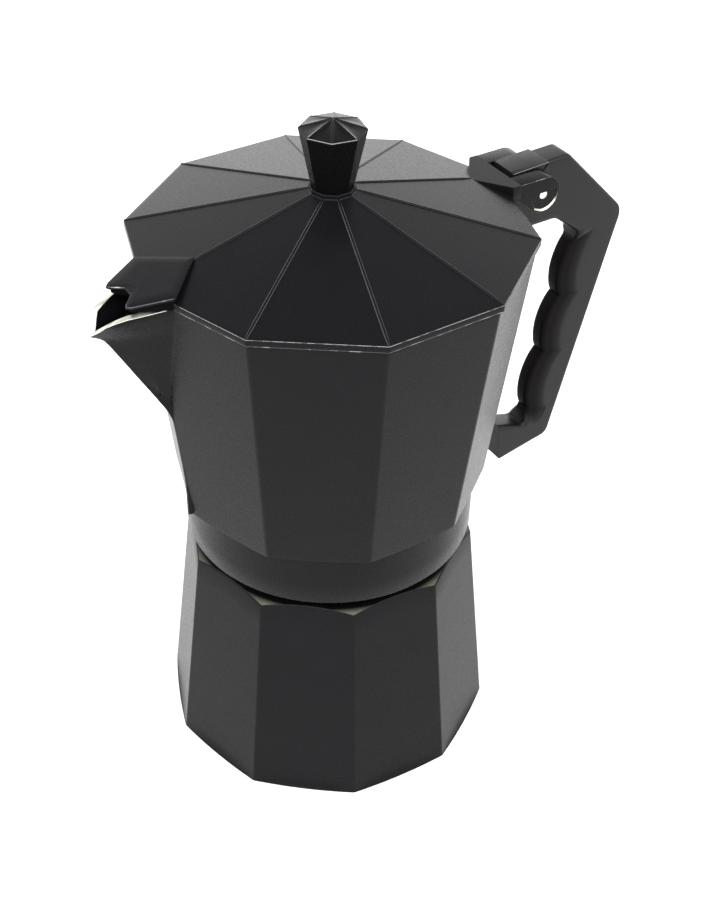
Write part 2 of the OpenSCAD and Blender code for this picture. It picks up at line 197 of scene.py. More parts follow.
def big_light(name, azimuth, elevation, distance, size, watts):
    """A square soft box that looks at the middle of the pot."""
    a, e = math.radians(azimuth), math.radians(elevation)
    way = Vector((math.cos(e) * math.cos(a), math.cos(e) * math.sin(a), math.sin(e)))
    data = bpy.data.lights.new(name, "AREA")
    data.shape, data.size, data.energy = "SQUARE", size, watts
    lamp = bpy.data.objects.new(name, data)
    scene.collection.objects.link(lamp)
    lamp.location = POT_MIDDLE + way * distance
    lamp.rotation_euler = way.to_track_quat("Z", "Y").to_euler()


for name, azimuth in (("left", 175), ("front", -122), ("right", -60)):
    big_light(name, azimuth, elevation=50, distance=1.6, size=1.4, watts=22)
print("soft boxes:", sorted(lamp.name for lamp in bpy.data.lights))

# %% [markdown]
# ## Black baked coating
#
# The castings are aluminium under a baked black powder coating. Powder flows into tiny soft pebbles
# about half a millimetre across, so the eye gets a satin black with a fine sparkle: nearly no colour
# of its own, and a sheen that grows strong at a low angle. The pebbles are one noise, used twice, for
# the roughness and for the bump, and a slow noise changes the black from place to place.

# %% Coated aluminium
MM = 0.001
NOISE = 0.3, 0.7


def dark_finish(name, dark, light, cloud_mm, grain_mm, rough, bump_mm, specular):
    """A slow noise of cloud_mm mixes dark and light. A fine one of grain_mm drives the bump, and carries
    the roughness between the two values of rough, as nearly all of a noise lies within NOISE."""
    material, tree, bsdf, place = new_material(name, Specular_IOR_Level=specular)
    cloud = add_node(tree, "TexNoise", Vector=place, Scale=1000 / cloud_mm, Detail=3).outputs[0]
    grain = add_node(tree, "TexNoise", Vector=place, Scale=1000 / grain_mm, Detail=2).outputs[0]
    bump = add_node(tree, "Bump", Height=grain, Strength=0.5, Distance=bump_mm / 1000).outputs[0]
    feed(tree, bsdf, Base_Color=mixed(tree, cloud, linear(dark), linear(light)),
         Roughness=mapped(tree, grain, *NOISE, *rough), Normal=bump)
    return material


coated = dark_finish("powder_coated_cast_aluminium", "#08080a", "#0c0c0e", cloud_mm=14, grain_mm=0.6,
                     rough=(0.22, 0.35), bump_mm=0.03, specular=0.08)
# Painted shade: a darker copy of the coating with almost no reflection, for the hood's side wall.
shaded = dark_finish("powder_coating_painted_shade", "#070708", "#0a0a0b", cloud_mm=14, grain_mm=0.8,
                     rough=(0.6, 0.7), bump_mm=0.02, specular=0.01)
print("coatings:", coated.name, shaded.name)

# %% [markdown]
# ## Moulded resin
#
# Grip and knob are black phenolic resin, pressed hot in a polished mould. The knob keeps that polish,
# and two of its ribs carry a painted highlight, a light grey resin that also lines the top rims of the
# grip's hinge block. The grip is satin, and its hollow flanks get painted shade: each point has a number
# named hollow, and the sheen falls as it grows.

# %% Moulded resin
SATIN, SHADE_SHEEN = 0.16, 0.02

handle_resin = dark_finish("moulded_phenolic_satin_painted_shade", "#0b0a0a", "#110f0f", cloud_mm=20, grain_mm=0.9,
                           rough=(0.32, 0.44), bump_mm=0.02, specular=SATIN)
tree = handle_resin.node_tree
# Painted shade: the sheen falls where the number named hollow grows, in the grip's scooped flanks.
hollow_shade = add_node(tree, "Attribute", {"attribute_name": "hollow"}).outputs["Fac"]
feed(tree, tree.nodes["Principled BSDF"], Specular_IOR_Level=mapped(tree, hollow_shade, 0, 1, SATIN, SHADE_SHEEN))
knob_resin = dark_finish("moulded_phenolic_polished", "#060607", "#0a090a", cloud_mm=9, grain_mm=0.7,
                         rough=(0.2, 0.3), bump_mm=0.008, specular=0.11)
# Painted highlight: a light grey, glossy resin for the knob's front ribs and edge and the grip block's top
# rims.
resin_highlight = dark_finish("moulded_phenolic_painted_highlight", "#565656", "#787878", cloud_mm=3, grain_mm=0.7,
                         rough=(0.2, 0.3), bump_mm=0.004, specular=0.5)
print("resins:", handle_resin.name, knob_resin.name, resin_highlight.name)

# %% [markdown]
# ## Bare metals and rubber
#
# The boiler's shoulder and neck, the funnel, the sieve and the filter plate are turned aluminium. A
# lathe leaves fine rings round the axis, so their brightness follows the distance from the axis plus
# the height. The valve is brass and copper, the springs and pins are steel. A metal has no colour
# below its surface, so metallic is 1 and the colour is that of its reflection.

# %% Metals and rubber
RADIANS_PER_M = 6283.2
SHADE_FADE = 1.6


def turned_metal(name, dark, light, ring_mm, rough, stain_mm=7, shade_mm=None):
    """Metal with rings, sin(2 pi (radius + height) / ring_mm), over slow stains of stain_mm. If a last
    radius in mm is given, the metal is painted black within it, a painted shade for the shadow under the
    collar, and it clears over 1.6 mm outside that."""
    material, tree, bsdf, place = new_material(name, Metallic=1.0)
    x, y, z = add_node(tree, "SeparateXYZ", Vector=place).outputs
    flat = add_node(tree, "CombineXYZ", X=x, Y=y).outputs[0]
    radius = add_node(tree, "VectorMath", {"operation": "LENGTH"}, i0=flat).outputs["Value"]
    path = add_node(tree, "Math", {"operation": "ADD"}, i0=radius, i1=z).outputs[0]
    per_ring = RADIANS_PER_M / ring_mm
    phase = add_node(tree, "Math", {"operation": "MULTIPLY"}, i0=path, i1=per_ring).outputs[0]
    ring = add_node(tree, "Math", {"operation": "SINE"}, i0=phase).outputs[0]
    stains = {"Scale": 1000 / stain_mm, "Detail": 4, "Roughness": 0.65}
    stain = add_node(tree, "TexNoise", Vector=place, **stains).outputs[0]
    tint = mixed(tree, stain, linear(dark), linear(light))
    if shade_mm:
        # Painted shade: close to the axis the metal turns black, standing in for the collar's shadow.
        unshaded = mapped(tree, radius, shade_mm * MM, (shade_mm + SHADE_FADE) * MM, 0, 1)
        tint = mixed(tree, unshaded, linear("#060606"), tint)
    bump = add_node(tree, "Bump", Height=ring, Strength=0.25, Distance=0.00002).outputs[0]
    feed(tree, bsdf, Base_Color=tint, Roughness=mapped(tree, stain, *NOISE, *rough), Normal=bump)
    return material


machined = turned_metal("turned_aluminium", "#9b9b8f", "#cfcec4", 0.8, (0.32, 0.5))
# Its stains are the shoulder's own tarnish; the black inside 48.3 mm is painted shade under the collar.
shoulder_metal = turned_metal("tarnished_turned_aluminium_painted_shade", "#1b1b18", "#65655a", 1.1, (0.5, 0.75),
                              stain_mm=2.2, shade_mm=48.3)
raw_cast = turned_metal("bare_cast_aluminium", "#a8a8a2", "#c9c9c4", 3.0, (0.42, 0.6), stain_mm=3)
brass = turned_metal("turned_brass", "#a38d58", "#c6b07c", 0.6, (0.22, 0.34))
copper = turned_metal("stamped_copper", "#a8603c", "#cb8158", 1.2, (0.3, 0.45))
steel = turned_metal("bright_steel", "#b9babb", "#e2e3e3", 0.5, (0.14, 0.24))
rubber = dark_finish("moulded_silicone_rubber", "#b9b1a0", "#cbc4b4", cloud_mm=6, grain_mm=0.8,
                     rough=(0.5, 0.65), bump_mm=0.03, specular=0.4)
print("metals:", machined.name, shoulder_metal.name, raw_cast.name, brass.name, copper.name, steel.name)

# %% [markdown]
# ## Worn edges and painted highlights
#
# Years of use rub the coating off the lid's rim and thin it on the folds. The same patches of metal are
# also a painted highlight: they sit on the rim, the hood's front, the arms' tops and the two folds that
# face the camera, to make them shine there. A noise decides where: above a threshold the edge is bare,
# below it the coating is still there.

# %% Worn edges and painted highlights
NICK_HIGHLIGHTS_PER_M = 260


def worn_edge_highlight(name, metal, start):
    """Coating worn off an edge, which is also a painted highlight: metal where a noise, about 4 mm wide,
    is above start, coated below it.
    """
    material, tree, bsdf, place = new_material(name, Roughness=0.4)
    nick_highlights = add_node(tree, "TexNoise", Vector=place, Scale=NICK_HIGHLIGHTS_PER_M, Detail=3).outputs[0]
    bare_highlight = mapped(tree, nick_highlights, start, start + 0.1, 0.0, 0.85)
    feed(tree, bsdf, Metallic=bare_highlight, Base_Color=mixed(tree, bare_highlight, linear("#0c0c0d"), linear(metal)))
    return material


# Wear and painted highlight: the rim's edge, the lid's lower lip, hood front and arm tops, and two folds.
rubbed_highlight = worn_edge_highlight("coating_rubbed_to_metal_painted_highlight", "#747474", 0.36)
nicked_highlight = worn_edge_highlight("coating_nicked_to_metal_painted_highlight", "#8c8c8c", 0.5)
fold_highlight = worn_edge_highlight("coating_painted_highlight_on_folds", "#3d3d3e", 0.3)
print("worn edges:", rubbed_highlight.name, nicked_highlight.name, fold_highlight.name)

# %% [markdown]
# ## Outlines
#
# The boiler and the upper chamber are ten-sided. Seen from above, the distance from the axis to a
# straight side is a / cos(angle from its middle). Near a corner it is that of a small circle tucked
# into the corner. Both are closed formulas, so a whole level is one array.

# %% Ten-sided outline
SIDES = 10


def outline(angle, r, c, n=SIDES, turn=0.0):
    """Distance from the axis to an n-sided outline of corner radius r, rounded to radius c, at angle in
    degrees. Side: r cos(180/n) / cos(180/n - k). Corner circle: d cos k + sqrt(c^2 - d^2 sin^2 k), where k
    is the angle from the corner and d the circle's distance from the axis."""
    half = 180 / n
    k = np.radians(np.abs((angle - turn + half) % (2 * half) - half))
    h = math.radians(half)
    d = r - c / math.cos(h)
    side = r * math.cos(h) / np.cos(h - k)
    root = np.sqrt(np.maximum(c * c - (d * np.sin(k)) ** 2, 0))
    corner = d * np.cos(k) + root
    return np.where(k < np.arctan2(c * math.sin(h), d + c * math.cos(h)), corner, side)


def columns(n=SIDES, turn=0.0, near=(0, .17, .34, .5, .66, .95, 1.5, 3, 7, 12)):
    """Angles of a ring's columns, crowded at the corners where the outline bends."""
    near, step = np.array(near), 360 / n
    one = np.r_[near, step / 2, step - near[:0:-1]]
    return (turn + np.arange(n)[:, None] * step + one).ravel()


def ring_points(angle, r, z):
    """Grid of points, a row for each level: (r cos a, r sin a, z), in millimetres."""
    a = np.radians(angle)
    r, z, _ = np.broadcast_arrays(r, z, a)
    return np.stack([r * np.cos(a), r * np.sin(a), z], -1)


print("columns round a ten-sided ring:", len(columns()))

# %% [markdown]
# ## Plates
#
# Hinge arms, lugs and the spout's hood are flat plates with soft corners. An outline of corners is
# enough to draw one: each corner becomes an arc, and the outline's own normals give it a rounded rim.

# %% Rounded plates
def rounded_path(path, steps=5):
    """Closed outline of [x, y, radius] corners: each becomes an arc that touches both of its sides."""
    out = []
    for i, (x, y, radius) in enumerate(path):
        p = np.array([x, y])
        u = np.array(path[i - 1][:2]) - p
        v = np.array(path[(i + 1) % len(path)][:2]) - p
        u, v = u / np.linalg.norm(u), v / np.linalg.norm(v)
        half = math.acos(np.clip(u @ v, -1, 1)) / 2
        centre = p + (u + v) / np.linalg.norm(u + v) * radius / math.sin(half)
        start = p + u * radius / math.tan(half) - centre
        side = -1 if u[0] * v[1] - u[1] * v[0] > 0 else 1
        k = side * np.linspace(0, math.pi - 2 * half, steps + 1)
        out.append(centre + np.stack([start[0] * np.cos(k) - start[1] * np.sin(k),
                                      start[0] * np.sin(k) + start[1] * np.cos(k)], -1))
    return np.concatenate(out)


def outward(path):
    """Unit normals of a closed outline that runs anticlockwise: its direction, a quarter turn clockwise."""
    along = np.roll(path, -1, 0) - np.roll(path, 1, 0)
    along /= np.linalg.norm(along, axis=1, keepdims=True)
    return np.stack([along[:, 1], -along[:, 0]], -1)


def plate(path, half, edge, bright=0):
    """Shell of a flat plate drawn in side view, from y = -half to half, its rims rounded back by edge: at
    k degrees round the rim, in by edge (1 - sin k) and along by edge (1 - cos k). The rims along its top
    get the finish number bright, a painted highlight."""
    out = outward(path)
    k = np.radians([0, 30, 60, 90])
    inset = np.r_[1, edge * (1 - np.sin(k)), edge * (1 - np.sin(k[::-1])), 1]
    y = np.r_[-half, -half + edge * (1 - np.cos(k)), half - edge * (1 - np.cos(k[::-1])), half]
    flats = [path - out * i for i in inset]
    rows = [np.stack([p[:, 0], np.full(len(p), w), p[:, 1]], -1) for p, w in zip(flats, y)]
    finish = np.zeros((len(y), len(path)), int)
    finish[np.ix_([2, len(y) - 4], path[:, 1] > path[:, 1].max() - 0.8)] = bright
    return {"grid": np.stack(rows)[::-1], "finish": finish}


square = rounded_path([[0, 0, .5], [2, 0, .5], [2, 2, .5], [0, 2, .5]])
print("a square of 2 mm rounded to 0.5 mm has", len(square), "points")

# %% [markdown]
# ## From grids to meshes
#
# Every piece is one or more closed grids. The faces' corner numbers follow from the rows and columns,
# so they are made with array arithmetic. A grid either closes on itself both ways, like a ring, or has
# a fan of triangles at each end. Edges sharper than 30 degrees stay crisp, the others are smooth. A face
# carries the number of its finish, and a point the number named hollow, which the grip's resin reads.

# %% Mesh from grids
def grid_faces(rows, cols, torus):
    """Corner numbers of a grid's faces. Seen from outside: along the row, then up to the next row."""
    i = np.arange(rows if torus else rows - 1)[:, None]
    j = np.arange(cols)[None, :]
    i1, j1 = (i + 1) % rows, (j + 1) % cols
    return np.stack([i * cols + j, i * cols + j1, i1 * cols + j1, i1 * cols + j], -1).reshape(-1, 4)


def fans(start, rows, cols):
    """Triangles that close a grid's two ends. Their centres are numbered just after the grid's points."""
    j = np.arange(cols)
    j1, last, centre = (j + 1) % cols, start + (rows - 1) * cols, start + rows * cols
    low = np.stack([start + j1, start + j, np.full(cols, centre)], -1)
    high = np.stack([last + j, last + j1, np.full(cols, centre + 1)], -1)
    return low.tolist(), high.tolist()


def make_piece(name, shells, materials, sharp=30):
    """One object from shells. A shell is a grid (rows, cols, 3) in mm whose rows close on themselves, with
    'torus' if its last row meets its first, or else with a fan at each end. 'finish' is a material number
    per face, 'hollow' a number per point; both spread over the grid."""
    points, hollows, quads, bands, ends, end_bands = [], [], [], [], [], []
    start = 0
    for shell in shells:
        grid, torus = shell["grid"], shell.get("torus", False)
        rows, cols = grid.shape[:2]
        faces = grid_faces(rows, cols, torus) + start
        finish = np.broadcast_to(shell.get("finish", 0), (rows, cols))
        quads += faces.tolist()
        bands += finish.ravel()[:len(faces)].tolist()
        points.append(grid.reshape(-1, 3))
        hollows.append(np.broadcast_to(shell.get("hollow", 0.0), (rows, cols)).ravel())
        if not torus:
            low, high = fans(start, rows, cols)
            ends += low + high
            end_bands += [int(finish[0, 0])] * cols + [int(finish[-1, 0])] * cols
            points.append(np.stack([grid[0].mean(0), grid[-1].mean(0)]))
            hollows.append(np.zeros(2))
        start += rows * cols + (0 if torus else 2)
    mesh = bpy.data.meshes.new(name)
    mesh.from_pydata((np.concatenate(points) * MM).tolist(), [], quads + ends)
    mesh.polygons.foreach_set("material_index", np.array(bands + end_bands, np.int32))
    mesh.polygons.foreach_set("use_smooth", np.ones(len(mesh.polygons), bool))
    hollow = mesh.attributes.new("hollow", "FLOAT", "POINT")
    hollow.data.foreach_set("value", np.concatenate(hollows).astype(np.float32))
    mesh.set_sharp_from_angle(angle=math.radians(sharp))
    for material in materials:
        mesh.materials.append(material)
    made = bpy.data.objects.new(name, mesh)
    scene.collection.objects.link(made)
    print(name, len(mesh.vertices), "points,", len(mesh.polygons), "faces")
    return made


def settle(made, body, slot, *replaced):
    """Says what the piece moves with, and which solids it stands for. The argument slot is not used."""
    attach(made, body)
    if replaced:
        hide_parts(*replaced)

# %% [markdown]
# ## Boiler
#
# The boiler is cast with ten flat sides and a turned neck. Its sides lean in towards the top, and over
# the lowest few millimetres they swell a little, because the heavy foot is thicker there. The shoulder
# is a turned cone, so it cuts each side in a shallow arch and leaves bare metal there. The thread on the
# neck is a true helix: its radius depends on height less turn.

# %% Boiler
BASE_R, TOP_R, SIDE_H, TURN = 60.0, 50.9, 81.2, -4.65
SHOULDER = math.tan(math.radians(34))
CORNER, FOOT_ROUND, FLARE, FLARE_H, BEVEL, NECK_R, CREST_R = 1.3, 0.5, 0.3, 5, 0.45, 45.2, 46.1


def profile(*corners):
    """Rows of constant radius and height from [radius, height] corners, as two columns."""
    path = np.array(corners, float)
    return path[:, :1], path[:, 1:]


def stacked(angle, parts, **options):
    """Shell made of parts in turn, each with its radii, its heights and the number of its finish."""
    grids = [ring_points(angle, np.atleast_2d(r), np.atleast_2d(z)) for r, z, _ in parts]
    bands = np.concatenate([np.full(len(g), part[2]) for g, part in zip(grids, parts)])
    return {"grid": np.concatenate(grids), "finish": bands[:, None], **options}


def thread(angle, root, crest, low, high, steps, pitch=2.5):
    """Helical wedge: root + (crest - root) ridge(height / pitch - turn), faded out at both ends."""
    z = np.linspace(low, high, steps)[:, None]
    phase = (z / pitch - angle / 360) % 1
    ridge = np.clip(1.9 - np.abs(phase - 0.5) * 5, 0, 1)
    fade = np.clip(np.minimum(z - low, high - z) / 1.2, 0, 1)
    return root + (crest - root) * ridge * fade, z + 0 * angle


def make_boiler():
    """Rows run from under the foot up the outside, over shoulder and neck, and down the inside. The sides
    lose slope mm of radius per mm of height, and end where their radius is the cone's. Below FLARE_H they
    swell towards the corner radius by FLARE (1 - z / FLARE_H)^2 of the gap."""
    angle = columns(turn=TURN)
    slope = (BASE_R - TOP_R) / SIDE_H
    wide = outline(angle, TOP_R, CORNER, turn=TURN) / TOP_R
    edge_r = wide * TOP_R * (1 - slope * SHOULDER) / (1 - wide * slope * SHOULDER)
    edge_z = SIDE_H + (TOP_R - edge_r) * SHOULDER
    a = np.radians([0, 30, 60, 90])[:, None]
    foot_z = FOOT_ROUND * (1 - np.cos(a)) + 0 * angle
    side_0 = outline(angle, BASE_R, CORNER, turn=TURN)
    foot_r = side_0 + FLARE * (BASE_R - side_0) - FOOT_ROUND * (1 - np.sin(a))
    flare_z = np.array([0.8, 1.2, 1.8, 2.5, 3.2, 4, 5])[:, None]
    r_now = BASE_R - slope * flare_z
    side_r = outline(angle, r_now, CORNER, turn=TURN)
    flare_r = side_r + FLARE * (r_now - side_r) * (1 - flare_z / FLARE_H) ** 2
    t = np.array([.08, .3, .6, .9, 1])[:, None]
    wall_z = FLARE_H + (edge_z - BEVEL - FLARE_H) * t
    wall_r = outline(angle, BASE_R - slope * wall_z, CORNER, turn=TURN)
    t = np.array([0, .3, .7, 1])[:, None]
    cone_r = (edge_r - BEVEL) * (1 - t) + NECK_R * t
    cone_z = SIDE_H + (TOP_R - cone_r) * SHOULDER
    parts = [
        (*profile([20, 0.6], [36, 0.6], [37.2, 0], [50, 0], [56, 0]), 3),
        (foot_r, foot_z, 0), (flare_r, flare_z, 0), (wall_r, wall_z, 0), (edge_r - 0.1, edge_z - 0.06, 0),
        (cone_r, cone_z, 1),
        (*thread(angle, NECK_R, CREST_R, 85.6, 98.0, 46), 3),
        (*profile([45.2, 98.2], [44.4, 99], [42.1, 99], [41.5, 98.4]), 3),
        (*profile([41.5, 84], [42, 81.6], [45.6, 75.2], [52.2, 9], [52.3, 6.6], [51.4, 4.9], [49.6, 4.1],
                  [46, 4], [20, 4]), 2),
    ]
    return make_piece("boiler_casting", [stacked(angle, parts)],
                      [coated, shoulder_metal, raw_cast, machined])


settle(make_boiler(), "boiler", "coated_casting", "boiler")

# %% [markdown]
# ## Upper chamber and spout
#
# The chamber is one casting: a round threaded collar, ten sides that lean outwards, and a prow-like
# spout that grows out of one corner. The spout could be joined on, but a real one is cast in, so the
# wall's radius is the larger of the ten-sided outline and the prow's outline at each height, and the
# rim dips where the prow opens into a trough.

# %% Upper chamber
RIM_Z, WALL, LIP_Z = 196.8, 2.6, 188.4
FOOT_R, SPREAD, FOOT_Z, RISE_Z = 53.6, 10.1, 107.3, 89.5
SPOUT_HALF, FILLET = 14, 0.5
KEEL = np.array([[142, 55], [146, 56.8], [150, 58.7], [153.2, 60], [161.6, 64.6], [169.6, 69.1], [176.7, 73],
                 [182.8, 76.4], [186, 78.4], [187.6, 80.4], [188.4, 82.2], [193.8, 81.4], [198, 81.2]])


def chamber_r(z):
    """Corner radius of the chamber at height z: straight from 53.6 at the foot to 63.7 at the rim."""
    return FOOT_R + SPREAD * (z - FOOT_Z) / RISE_Z


def prow_r(angle, z, wall):
    """Distance from the axis to the prow along a ray, off = angle from the spout's middle. The ray meets
    the side line from (x0, w) to (keel, nose), bowed out by 0.6 mm, or else the front at keel / cos(off).
    """
    off = np.radians(np.abs((angle + 360) % 360 - 180))
    w = np.maximum(0.5, 11.2 * (z - 155) / 41.8 - wall)
    keel = np.interp(z, KEEL[:, 0], KEEL[:, 1]) - 1.2 * wall
    nose = np.maximum(0.2, np.minimum(0.5 + 0.8 * np.maximum(0, z - LIP_Z), 4.6) - 1.1 * wall)
    x0 = np.minimum(chamber_r(z) - 0.325 * w - 1.2 - wall, keel - 0.4)
    slope = (nose - w) / (keel - x0)
    side = (w - slope * x0) / (np.tan(off) - slope)
    for _ in range(2):
        f = np.clip((side - x0) / (keel - x0), 0, 1)
        side = (w + 0.6 * np.sin(np.pi * f) - slope * x0) / (np.tan(off) - slope)
    return np.minimum(side, keel) / np.cos(off)


def soft_max(a, b, width):
    """The larger of two lengths, with a fillet: ((a + b) + sqrt((a - b)^2 + width^2)) / 2."""
    return (a + b + np.sqrt((a - b) ** 2 + width ** 2)) / 2


def chamber_columns():
    """Columns of the ten-sided ring, with fine ones over the 26 degrees that the spout takes."""
    ring = columns()
    keep = np.abs(ring - 180) > 14
    fine = np.r_[np.linspace(-14, -6, 14), np.linspace(-5.8, 5.8, 55), np.linspace(6, 14, 14)] + 180
    return np.sort(np.r_[ring[keep], fine])


def make_chamber():
    """Rows run round the wall's section: under the floor and inside the collar, up the outside, over the
    rim and down the inside. The rim falls from RIM_Z to 190 mm where the spout opens."""
    angle = chamber_columns()
    off = np.abs(angle - 180)
    near = off < SPOUT_HALF

    def wall_r(z, inset, corner, prow):
        return soft_max(outline(angle, chamber_r(z) - inset, corner), prow, FILLET)

    rim = np.interp(off, [0, 2.9, 3.5, 4.4, 5.7, 7], [190.0, 193.9, 194.8, 195.8, 196.6, RIM_Z])
    brink = rim - np.interp(off, [0, 2, 4, 7, 10], [1.5, 1.6, 1.45, 0.9, 0])
    ledge = math.tan(math.radians(20))
    edge_z = 106 + (outline(angle, FOOT_R, 2.2) - 49.5) * ledge
    edge_r = outline(angle, chamber_r(edge_z), 2.2)
    t = np.r_[0, 0.02, np.linspace(.1, .34, 4), np.linspace(.38, 1, 40)][:, None]
    out_z = edge_z + 0.5 + (brink - 0.3 - edge_z - 0.5) * t
    out_r = wall_r(out_z, 0, 2.2, np.where(near, prow_r(angle, out_z, 0), 0))
    t = np.r_[np.linspace(0, .62, 40), np.linspace(.66, .98, 6)][:, None]
    in_z = rim - 0.3 + (113 - rim + 0.3) * t
    in_r = wall_r(in_z, WALL, 2, np.where(near, prow_r(angle, in_z, 1.4), 0))
    in_r = np.minimum(in_r, wall_r(in_z, 0, 2.2, prow_r(angle, in_z, 0)) - 1.1)
    helix_r, helix_z = thread(angle, 47.5, 46.6, 88.2, 98.8, 44)
    thirds = 0, .5, 1
    parts = [
        (*profile([6.03, 107.6], [9, 107.6], [41, 104.5], [45.4, 104.5], [45.4, 100], [47.5, 99.4]), 1),
        (helix_r[::-1], helix_z[::-1], 1),
        (*profile([47.5, 88], [48.3, 87.1], [49.4, 87.05], [49.85, 87.25], [50, 87.6], [50, 95], [50, 105.6],
                  [50, 106.1]), 0),
        (np.stack([50.2 + (edge_r - 50.4) * f for f in thirds]),
         np.stack([106.2 + (edge_z - 106.2) * f for f in thirds]), 0),
        (edge_r, edge_z + 0.15, 0),
        (out_r, out_z, 0),
        (out_r[-1] - 0.1, brink - 0.08, 1),
        (out_r[-1] - 0.3, brink + 0.1, 1),
        (in_r[0] + 0.35, rim, 1),
        (in_r[0] + 0.1, rim - 0.1, 0),
        (in_r, in_z, 0),
        (*profile([47.3, 111.4], [45.6, 110.7], [43, 110.5], [8, 110.5], [6.03, 110.5]), 0),
    ]
    lug = rounded_path([[61, 178.6, .3], [63.5, 181, 1], [77.6, 191.3, 1], [79.2, 197, 3], [74.4, 200.2, 3],
                        [66.5, 194.3, 2], [61, 194.3, .3]])
    return make_piece("chamber_casting", [stacked(angle, parts, torus=True), plate(lug, 2.5, .3)],
                      [coated, machined])


settle(make_chamber(), "upper", "coated_casting", "upper_chamber")

# %% [markdown]
# ## Lid
#
# The lid is a low ten-sided pyramid pressed over the rim, with a thin raised bead along each fold that
# stiffens it and catches the light. The pyramid is one grid whose height falls evenly with the
# outline's size. Each bead is an ellipse carried along its fold, so it stays equally wide all the way.
# A low boss on the peak carries the knob.

# %% Lid shell and beads
LID_R, LID_Z, RISE = 64.7, 199.2, 16.1
LID_FINISHES = [coated, machined, rubbed_highlight, nicked_highlight, shaded, fold_highlight]
COATED, MACHINED, RUBBED_HIGHLIGHT, NICKED_HIGHLIGHT, SHADED, POLISHED_HIGHLIGHT = range(6)


def lid_top(size):
    """Height of the pyramid where the outline's corner radius is size."""
    return LID_Z + RISE * (1 - size / LID_R)


def lid_shell():
    """Rows run out along the lining, round the rim and up the slope to the boss. Every row is the ten-sided
    outline at its own size."""
    angle = columns(near=(0, .2, .4, .6, .8, 1.1, 1.6, 3, 7, 12))
    wide = outline(angle, LID_R, 1.0) / LID_R
    lining = [[7.4, 211.6], [20, 208.5], [40, 203.6], [62.2, 198.15], [62.6, 197.9], [62.7, 197.4],
              [62.8, 196.95], [63, 196.8], [64.3, 196.8], [64.6, 196.9], [64.7, 197.2], [64.7, 198.7]]
    edge = [[64.66, 199.05], [64.56, 199.16], [64.15, lid_top(64.15)]]
    slope = [[size, lid_top(size)] for size in (63, 55, 45, 35, 25, 15, 8.2, 7.6)]
    slope += [[7.4, 213.7], [7.4, 214.7], [7.25, 214.88], [3, 214.88]]
    rows = [[3, 209.7], [7.1, 209.7], [7.4, 209.95], *lining, *edge, *slope]
    r, z = profile(*rows)
    finish = np.zeros((len(rows), 1), int)
    # Painted highlight, partly wear: the rim's upper edge and the lip's lower corner take metal in patches.
    finish[rows.index(edge[0])] = RUBBED_HIGHLIGHT
    finish[rows.index([64.6, 196.9])] = NICKED_HIGHLIGHT
    return {"grid": ring_points(angle, r * wide, z), "finish": finish}


def bead(turn, near, far, worn_highlight=COATED):
    """Half-sunk elliptic bead, 1.24 mm wide and 0.42 mm proud, along the fold at angle turn from near to
    far, tapered over a twentieth of its length at both ends. Its two flanks get the finish given last,
    which for two folds paints a highlight."""
    t = np.linspace(0, 1, 15)[:, None]
    size = near + (far - near) * t
    scale = np.minimum(1, np.minimum(t + 0.03, 1.03 - t) / 0.05)
    k = np.radians(np.arange(0, 360, 24))
    across = 0.62 * scale * np.cos(k)
    height = lid_top(size) - 0.08 + 0.5 * scale * np.sin(k)
    a = math.radians(turn)
    x, y = size * math.cos(a) - across * math.sin(a), size * math.sin(a) + across * math.cos(a)
    flank = (np.abs(np.cos(k + math.radians(12))) > 0.5) & (np.sin(k + math.radians(12)) > 0.3)
    finish = np.where(flank, worn_highlight, COATED) + np.zeros((len(t), 1), int)
    return {"grid": np.stack([x, y, height], -1), "finish": finish}


print("lid rises from", LID_Z, "to", LID_Z + RISE, "mm")

# %% [markdown]
# ## Spout hood
#
# Over the spout the lid grows a small roof with a notch in front, where the coffee leaves. It is cast
# with the lid, but it is easier to draw as a shell of its own that sinks into the pyramid: one outline
# seen from above, carried up in rows and shrunk a little where an edge turns.

# %% Spout hood
HOOD_X, HOOD_SLOPE = 47.4, 0.2


def hood_shell():
    """Roof over the spout: an outline with a notch in front, carried up to a plane that falls HOOD_SLOPE
    per mm, from 1.1 mm above the pyramid at HOOD_X."""
    half = [[-60.7, 13.3, 1], [-72.2, 7.9, .6], [-73.4, 6.6, .5], [-72.7, 5.2, .5], [-69.4, 1.7, .6]]
    plan = rounded_path([[-47.4, 0, .5], *half, *[[x, -y, r] for x, y, r in half[::-1]]])
    out, middle = outward(plan), np.array([-60.0, 0])

    def level(scale, inset, height, lift):
        p = middle + (plan - out * inset - middle) * scale
        top = lid_top(HOOD_X) + 1.1 + (p[:, 0] + HOOD_X) * HOOD_SLOPE
        return np.c_[p, top + lift if height is None else np.full(len(p), height)]

    levels = [(.1, 0, None, -2.2), (.5, 0, None, -2.2), (.82, 0, None, -2.3), (.84, 0, 197.4, 0),
              (.86, 0, 197.1, 0), (.9, 0, 197.1, 0), (.91, 0, 197.4, 0), (.92, 0, None, -1.5),
              (.985, 0, None, -1.0), (1, 0, None, -.8), (1, 0, None, -.5), (1, .06, None, -.28),
              (1, .25, None, -.07), (1, .5, None, 0), (.7, .5, None, 0), (.35, .3, None, 0)]
    finish = np.zeros((len(levels), len(plan)), int)
    # Painted shade: the rows of the hood's side wall take the darker copy of the coating.
    finish[5:9] = SHADED
    # Painted highlight, partly wear: the front edge of the roof takes metal in patches.
    finish[11, plan[:, 0] < -71.5] = NICKED_HIGHLIGHT
    return {"grid": np.stack([level(*row) for row in levels]), "finish": finish}


print("hood has", hood_shell()["grid"].shape[0], "rows of points")

# %% [markdown]
# ## Hinge
#
# Two arms of the lid stand either side of the chamber's lug and hold the pin. An arm is a flat plate
# with a rounded eye, so it is an outline in side view, carried across. The pin's hole is countersunk
# and its lower lip is worn bright, so the outline runs on inwards as a cone round the pin.

# %% Hinge plates
PIN_X, PIN_Z = 74.5, 195.5


